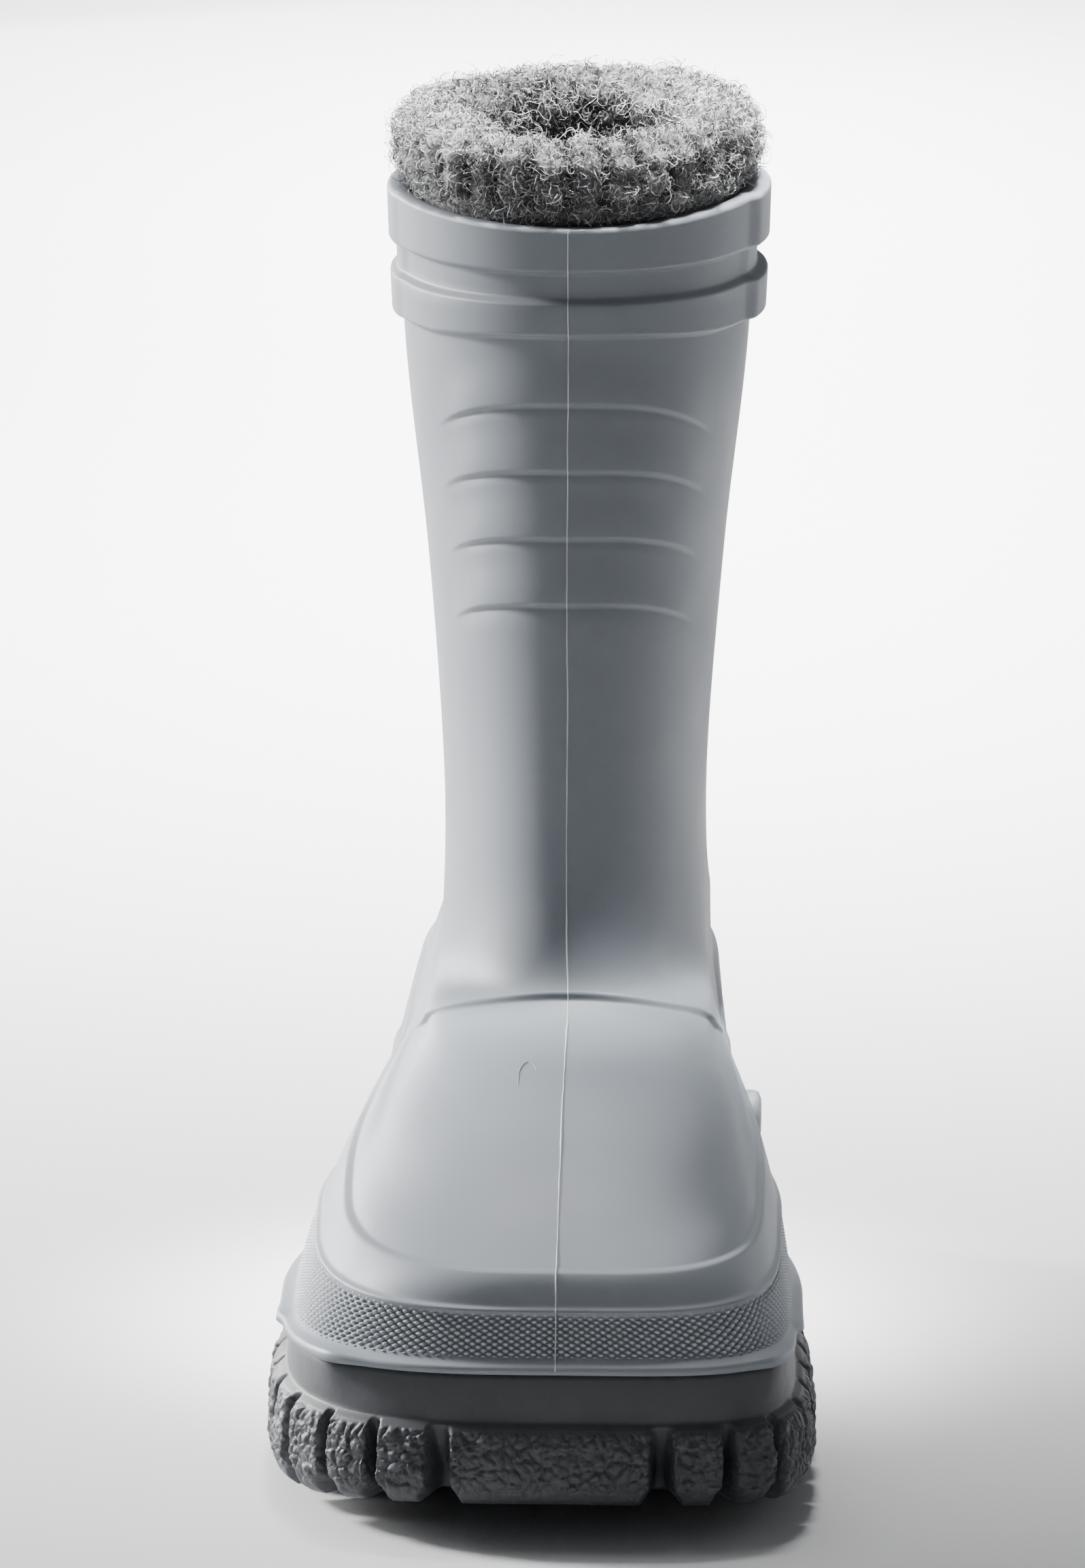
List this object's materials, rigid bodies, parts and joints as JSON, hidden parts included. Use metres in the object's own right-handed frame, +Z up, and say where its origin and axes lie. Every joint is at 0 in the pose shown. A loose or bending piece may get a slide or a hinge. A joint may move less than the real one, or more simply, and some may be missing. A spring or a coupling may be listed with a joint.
{
  "type": "lined rubber boot",
  "caption": "Pull-on moulded rubber boot for the right foot, with a lugged sole, a recessed vamp, flex ridges, collar bands and a thick wool liner rolled up above the rim.",
  "frame": {"origin": "middle of the boot's bounding box in plan, on the floor that the sole stands on", "axes": "+Z up, the toe points along -Y, the inner side of the right foot is +X"},
  "size_m": [0.094, 0.218, 0.2252],
  "materials": {
    "outsole": "matt, rough lug faces",
    "upper": "satin",
    "liner": "fluffy wool pile",
    "insole": "matt felt"
  },
  "bodies": {
    "root": {"outsole": "outsole", "upper": "upper", "liner": "liner", "insole": "insole"}
  },
  "joints": []
}
